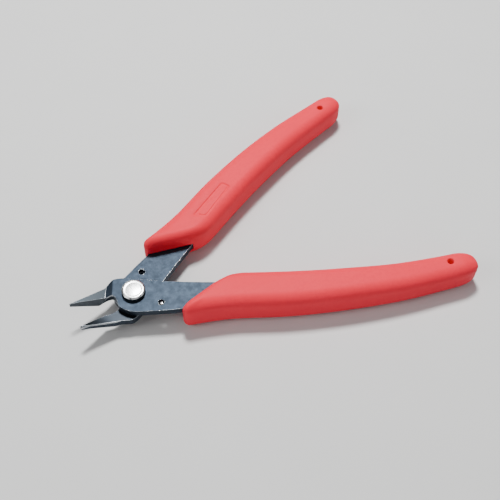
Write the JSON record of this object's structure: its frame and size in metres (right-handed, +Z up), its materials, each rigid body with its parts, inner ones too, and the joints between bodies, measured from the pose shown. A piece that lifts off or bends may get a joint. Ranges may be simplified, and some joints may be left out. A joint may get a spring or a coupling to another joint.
{
  "type": "sprue nippers",
  "caption": "Spring-opened bypass nippers with crossing steel blades on a rivet, raised pointed jaws and bowed red grips, for trimming plastic parts flush from a sprue.",
  "frame": {"origin": "bench level under the middle of the open tool's box", "axes": "+X from the jaws towards the grip ends, halfway between the grips; +Z up, the rivet head's side; the upper blade's grip lies towards -Y"},
  "size_m": [0.1222, 0.0904, 0.0123],
  "materials": {
    "blade_steel": "dark oxide, fine grained",
    "rivet_steel": "bright satin",
    "spring_wire": "bright drawn wire",
    "grip_red": "satin moulded, fine grain"
  },
  "bodies": {
    "upper_half": {"upper_blade": "blade_steel", "upper_blade_grip": "grip_red", "pivot_rivet": "rivet_steel", "rivet_washer": "rivet_steel", "return_spring": "spring_wire"},
    "lower_half": {"lower_blade": "blade_steel", "lower_blade_grip": "grip_red"}
  },
  "joints": [
    {"name": "blade_pivot", "type": "hinge", "parent": "upper_half", "child": "lower_half", "pos_m": [-0.0415, 0, 0.00615], "axis": [0, 0, -1], "range_deg": [0, 25], "stiffness_Nm_per_rad": 0.32, "springref_deg": -20.05, "deforming": ["return_spring"]}
  ]
}
